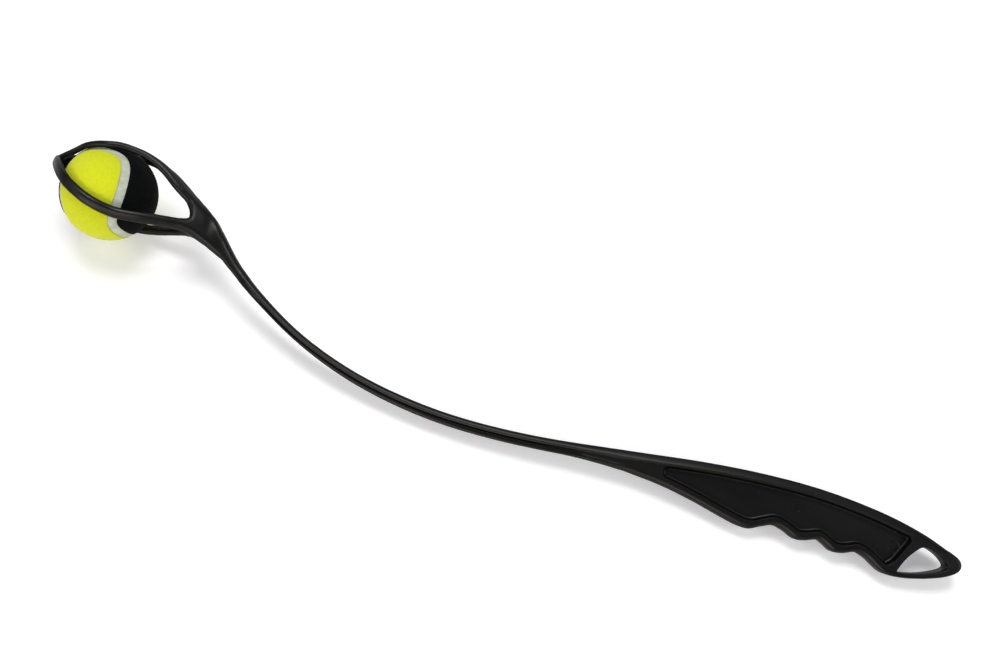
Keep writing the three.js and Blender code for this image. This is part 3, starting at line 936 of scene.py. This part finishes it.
def moulded_grain_group():
    """Fine spark grain of a moulded surface with faint flow marks and scuffs."""
    nodes, given, result = new_group(
        "Moulded grain", {"Grain scale": 2600, "Scuff scale": 60}, ("Height", "Mottle", "Scuff"))
    vector, grain_scale, scuff_scale = [given[i] for i in range(3)]
    fine = noise_node(nodes, vector, grain_scale, 3)
    coarse = noise_node(nodes, vector, math_node(nodes, "MULTIPLY", grain_scale, 0.22), 2)
    stretch = feed(nodes.new("ShaderNodeMapping"), {"Vector": vector, "Scale": (0.25, 1, 1)})
    stretched = stretch.outputs["Vector"]
    scratch_scale = math_node(nodes, "MULTIPLY", scuff_scale, 9)
    feed(result, {
        "Height": math_node(nodes, "MULTIPLY_ADD", coarse, 0.5, fine),
        "Mottle": noise_node(nodes, stretched, scuff_scale, 5),
        "Scuff": ranged(nodes, noise_node(nodes, stretched, scratch_scale, 6, 0.7), 0.62, 0.8),
    })


def felt_nap_group():
    """Matted fibres of tennis ball felt: height, light and dark tufts, and fine threads."""
    nodes, given, result = new_group(
        "Felt nap", {"Tuft scale": 700, "Fibre scale": 2400}, ("Height", "Tufts", "Fibres"))
    vector, tuft_scale, fibre_scale = [given[i] for i in range(3)]
    tufts = noise_node(nodes, vector, tuft_scale, 5, 0.65)
    shift = feed(nodes.new("ShaderNodeTexNoise"), {"Vector": vector, "Scale": tuft_scale})
    warp = nodes.new("ShaderNodeVectorMath")
    warp.operation = "MULTIPLY_ADD"
    feed(warp, {0: shift.outputs["Color"], 1: (0.0016, 0.0016, 0.0016), 2: vector})
    fibres = noise_node(nodes, warp.outputs["Vector"], fibre_scale, 6, 0.75)
    height = math_node(nodes, "MULTIPLY_ADD", tufts, 1.2, fibres)
    feed(result, {"Height": height, "Tufts": tufts, "Fibres": fibres})


def group_values(nodes, name, place, scales):
    """What a node group gives at a place."""
    node = nodes.new("ShaderNodeGroup")
    node.node_tree = bpy.data.node_groups[name]
    return feed(node, {"Vector": place, **scales}).outputs


def start_material(name):
    """A new material: its nodes, its shader, and the place on the piece."""
    material = bpy.data.materials.new(name)
    material.use_nodes = True
    nodes = material.node_tree.nodes
    place = nodes.new("ShaderNodeTexCoord").outputs["Object"]
    return nodes, nodes["Principled BSDF"], place


def plastic_material(finishes):
    """Satin black plastic with a fine grain, faint flow marks and a few scuffs. It is less glossy
    at a slant, so that its edges don't mirror the pale floor."""
    nodes, shader, place = start_material("Moulded plastic")
    scales = {"Grain scale": 2600, "Scuff scale": 55}
    grain = group_values(nodes, "Moulded grain", place, scales)
    mottle = ranged(nodes, grain["Mottle"], 0.3, 0.7, 0.33, 0.41)
    slant = nodes.new("ShaderNodeLayerWeight").outputs["Facing"]
    feed(shader, {
        "Base Color": toned(nodes, grain["Mottle"], 0.35, 0.65, finishes.plastic, 0.8, 1.25),
        "Roughness": math_node(nodes, "MULTIPLY_ADD", grain["Scuff"], 0.14, mottle),
        "Specular IOR Level": ranged(nodes, slant, 0.15, 0.65, 0.25, 0.035),
        "Normal": bumped(nodes, grain["Height"], 0.00003, 0.35),
    })


def felt_material(name, colour, light, dark, sheen):
    """Fuzzy felt: tufts lighten and darken it, and a soft sheen lights its edges."""
    nodes, shader, place = start_material(name)
    nap = group_values(nodes, "Felt nap", place, {"Tuft scale": 620, "Fibre scale": 2300})
    blend = math_node(nodes, "MULTIPLY_ADD", nap["Tufts"], 0.5, nap["Fibres"])
    feed(shader, {
        "Base Color": toned(nodes, blend, 0.55, 0.95, colour, dark, light),
        "Roughness": ranged(nodes, nap["Fibres"], 0.3, 0.7, 0.88, 1),
        "Specular IOR Level": 0.08,
        "Sheen Weight": sheen,
        "Sheen Roughness": 0.5,
        "Normal": bumped(nodes, nap["Height"], 0.0003, 0.7),
    })


def rubber_material(name, colour, rough):
    """Matt rubber with a faint mottle."""
    nodes, shader, place = start_material(name)
    scales = {"Grain scale": 1500, "Scuff scale": 240}
    grain = group_values(nodes, "Moulded grain", place, scales)
    feed(shader, {
        "Base Color": toned(nodes, grain["Mottle"], 0.35, 0.65, colour, 0.82, 1.12),
        "Roughness": ranged(nodes, grain["Height"], 0.4, 1.1, rough - 0.08, rough + 0.06),
        "Specular IOR Level": 0.3,
        "Normal": bumped(nodes, grain["Height"], 0.00015, 0.6),
    })


def floor_material(finishes, white):
    """Plain matt floor. The camera and reflections see part of it as even white light, as on a
    light table, and the rest as the lit surface, which keeps the shadow."""
    nodes, shader, place = start_material("Studio floor")
    rays = nodes.new("ShaderNodeLightPath").outputs
    seen = rays["Is Camera Ray"]
    for ray in ("Is Glossy Ray", "Is Transmission Ray"):
        seen = math_node(nodes, "MAXIMUM", seen, rays[ray])
    feed(shader, {
        "Base Color": toned(nodes, seen, 0, 1, finishes.floor, 1, FLOOR_GAIN - white),
        "Emission Color": (1, 1, 1, 1),
        "Emission Strength": math_node(nodes, "MULTIPLY", seen, white),
        "Roughness": 0.9,
        "Specular IOR Level": 0,
    })


# Operators: each makes one piece, a group of like pieces or the stage

class THROWER_OT_finishes(bpy.types.Operator):
    """Make the materials, and give the inner rubber shells theirs"""

    bl_idname = "thrower.finishes"
    bl_label = "Make finishes"

    def execute(self, context):
        finishes = context.scene.thrower_finishes
        moulded_grain_group()
        felt_nap_group()
        plastic_material(finishes)
        felt_material("Yellow felt", finishes.yellow, light=1.06, dark=0.86, sheen=0.12)
        felt_material("Black felt", finishes.black, light=1.6, dark=0.5, sheen=0.01)
        rubber_material("Seam rubber", finishes.seam, 0.85)
        rubber_material("Core rubber", finishes.rubber, 0.75)
        for name in ("ball_core_top", "ball_core_bottom"):
            for slot in frame["nodes"][name].material_slots:
                slot.material = bpy.data.materials["Core rubber"]
        return {"FINISHED"}


class THROWER_OT_bar(bpy.types.Operator):
    """Make the shaft and the handle: one bar with rims, channels, recesses and a hanging hole"""

    bl_idname = "thrower.bar"
    bl_label = "Make shaft and handle"

    def execute(self, context):
        sizes = context.scene.thrower_bar
        bm = bmesh.new()
        open_edges = ring_edges(bm, rounded_bar(bm, bar_outline(*BAR), sizes))
        web = sizes.web / 2 / MILLIMETRE

        def side(p):
            return side_height(p.x, sizes)

        def sink(loop, height, steps, around, closed=False):
            """Sinks a wall, adds its upper edges to those around it, and returns its lower ring."""
            outer, inner = sunk_loop(bm, loop, height, steps)
            around.extend(ring_edges(bm, outer))
            if closed:
                fill(bm, ring_edges(bm, inner))
            return inner

        steps = [(inwards, lambda p, share=share: channel_depth(p.x) * share)
                 for inwards, share in CHANNEL_WALL]
        sink(channel_loop(), side, steps, open_edges, closed=True)
        steps = [(inwards, lambda p, rise=rise: side(p) - web - rise)
                 for inwards, rise in RECESS_FOOT]
        web_edges = ring_edges(bm, sink(recess_loop(), side, [*RECESS_WALL, *steps], open_edges))
        for mark, wall in ((GATE_MARK, GATE_WALL), (PIN_MARK, PIN_WALL)):
            steps = [(inwards, mark[3] * share) for inwards, share in wall]
            sink(mark_loop(mark), lambda p: web, steps, web_edges, closed=True)
        fill(bm, web_edges)
        sink(hang_hole_loop(), side, [*HANG_HOLE_WALL, (0.75, side)], open_edges)
        fill(bm, open_edges)
        close_half(bm)
        finish_mesh(
            bm, "shaft_and_handle", "thrower",
            ("shaft", "handle_spine", "handle_finger_rim", "handle_hang_loop"),
            "Moulded plastic")
        return {"FINISHED"}


class THROWER_OT_cage(bpy.types.Operator):
    """Make the cage: four sprung arms that meet at a tip and at the throat"""

    bl_idname = "thrower.cage"
    bl_label = "Make cage"

    def execute(self, context):
        scene = context.scene
        sizes = scene.thrower_cage
        seat = (scene.thrower_ball.radius + sizes.clearance + sizes.arm_depth / 2) / MILLIMETRE
        arms = (
            (BACK_ARM_ROUND, BACK_ARM_ROOT, BACK_ARM_WIDTHS, BACK_ARM_DEPTHS),
            (MOUTH_ARM_ROUND, MOUTH_ARM_ROOT, MOUTH_ARM_WIDTHS, MOUTH_ARM_DEPTHS),
        )
        bm = bmesh.new()
        upper = []
        for around, root, widths, depths in arms:
            line = smooth_line([*[round_ball(p, seat) for p in around], *root], 10)
            upper.append(arm_rings(line, widths, depths, sizes))
            arm_mesh(bm, upper[-1])
            arm_mesh(bm, [mirrored(ring) for ring in upper[-1]])
        knuckle = Matrix.Translation(round_ball(TIP_PLACE, seat))
        bmesh.ops.create_icosphere(
            bm, subdivisions=3, radius=sizes.arm_depth / 2 / MILLIMETRE, matrix=knuckle)
        throat_mesh(bm, *upper)
        stub_mesh(bm, *STUB, scene.thrower_bar)
        grain = sizes.grain / MILLIMETRE * 1
        skin = moulded_skin(bm, grain, "cage")
        start, end = FLOWING
        smooth(skin, [v for v in skin.verts if start < v.co.x < end], 32)
        smooth(skin, skin.verts, 2)
        skin.normal_update()
        gain, throat_gain = 0.12, 0.25
        for vertex in skin.verts:
            in_throat = ease(vertex.co.x, 46, 56) * (1 - ease(vertex.co.x, 94, 104))
            vertex.co += vertex.normal * (gain + throat_gain * in_throat)
        cut = bmesh.ops.bisect_plane(
            skin, geom=[*skin.verts, *skin.edges, *skin.faces], dist=0.0001,
            plane_co=(CAGE_END, 0, 0), plane_no=(1, 0, 0), clear_outer=True)
        rim = [g for g in cut["geom_cut"] if isinstance(g, bmesh.types.BMEdge)]
        bmesh.ops.holes_fill(skin, edges=rim, sides=0)
        finish_mesh(
            skin, "cage", "thrower",
            ("cage_tip", "cage_arm_back_upper", "cage_arm_back_lower", "cage_arm_mouth_upper",
             "cage_arm_mouth_lower", "cage_throat"),
            "Moulded plastic", math.radians(60))
        return {"FINISHED"}


class THROWER_OT_ball(bpy.types.Operator):
    """Make the tennis ball: two felt panels and the rubber seam between them"""

    bl_idname = "thrower.ball"
    bl_label = "Make ball"

    def execute(self, context):
        sizes = context.scene.thrower_ball
        for side, colour in ((1, "yellow"), (-1, "black")):
            piece = finish_mesh(
                felt_panel(side, sizes), "felt_" + colour, "ball", ("ball_felt_" + colour,),
                colour.capitalize() + " felt", math.pi)
            wall = piece.modifiers.new("Felt thickness", "SOLIDIFY")
            wall.thickness = sizes.felt
            wall.offset = -1
        finish_mesh(
            seam_band(sizes), "seam", "ball", ("ball_seam",), "Seam rubber",
            math.radians(60))
        return {"FINISHED"}


class THROWER_OT_stage(bpy.types.Operator):
    """Set the floor, the lamps and the camera"""

    bl_idname = "thrower.stage"
    bl_label = "Set the stage"

    def execute(self, context):
        scene = context.scene
        studio = scene.thrower_studio
        bm = bmesh.new()
        bmesh.ops.create_grid(bm, x_segments=1, y_segments=1, size=4)
        mesh = mesh_from(bm, "studio_floor")
        floor_material(scene.thrower_finishes, studio.white)
        mesh.materials.append(bpy.data.materials["Studio floor"])
        floor = add_object("studio_floor", mesh)

        scene.world = bpy.data.worlds.new("Studio room")
        scene.world.use_nodes = True
        even_light = {"Color": ROOM_COLOUR, "Strength": studio.sky}
        feed(scene.world.node_tree.nodes["Background"], even_light)

        for name, setting, place, target, size, share, colour in LAMPS:
            light = bpy.data.lights.new(name, "AREA")
            light.shape = "RECTANGLE"
            light.size, light.size_y = size
            light.energy = getattr(studio, setting) * share
            light.color = colour
            holder = add_object(name, light)
            holder.location = place
            aim = Vector(target) - Vector(place)
            holder.rotation_euler = aim.to_track_quat("-Z", "Y").to_euler()

        turn = LYING.to_3x3().normalized()
        right = (turn @ Vector(CAMERA_RIGHT)).normalized()
        up = (turn @ Vector(CAMERA_UP)).normalized()
        camera = bpy.data.cameras.new("Camera")
        camera.lens = studio.lens
        camera.sensor_width = 36
        camera.clip_start = 0.05
        camera.clip_end = 20
        holder = add_object("Camera", camera)
        axes = Matrix((right, up, right.cross(up))).transposed().to_4x4()
        holder.matrix_world = Matrix.Translation(LYING @ Vector(CAMERA_PLACE)) @ axes
        scene.camera = holder
        scene.view_settings.view_transform = "Standard"
        return {"FINISHED"}


class THROWER_PT_panel(bpy.types.Panel):
    """Lists the sizes and the steps that make the thrower"""

    bl_label = "Dog Ball Thrower"
    bl_idname = "THROWER_PT_panel"
    bl_space_type = "VIEW_3D"
    bl_region_type = "UI"
    bl_category = "Thrower"

    def draw(self, context):
        layout = self.layout
        for title, name, cls in GROUPS:
            box = layout.box()
            box.label(text=title)
            group = getattr(context.scene, name)
            for key in cls.__annotations__:
                box.prop(group, key)
        for operator in STEPS:
            layout.operator(operator.bl_idname)


GROUPS = (
    ("Ball", "thrower_ball", BallSizes), ("Cage", "thrower_cage", CageSizes),
    ("Shaft and handle", "thrower_bar", BarSizes), ("Finishes", "thrower_finishes", Finishes),
    ("Studio", "thrower_studio", StudioSettings),
)
STEPS = (THROWER_OT_finishes, THROWER_OT_bar, THROWER_OT_cage, THROWER_OT_ball, THROWER_OT_stage)


def register():
    for title, name, cls in GROUPS:
        bpy.utils.register_class(cls)
        setattr(bpy.types.Scene, name, PointerProperty(type=cls))
    for cls in (*STEPS, THROWER_PT_panel):
        bpy.utils.register_class(cls)


def unregister():
    for cls in (THROWER_PT_panel, *STEPS[::-1]):
        bpy.utils.unregister_class(cls)
    for title, name, cls in GROUPS[::-1]:
        delattr(bpy.types.Scene, name)
        bpy.utils.unregister_class(cls)


def main():
    register()
    bpy.ops.thrower.finishes()
    bpy.ops.thrower.bar()
    bpy.ops.thrower.cage()
    bpy.ops.thrower.ball()
    bpy.ops.thrower.stage()


if __name__ == "__main__":
    main()
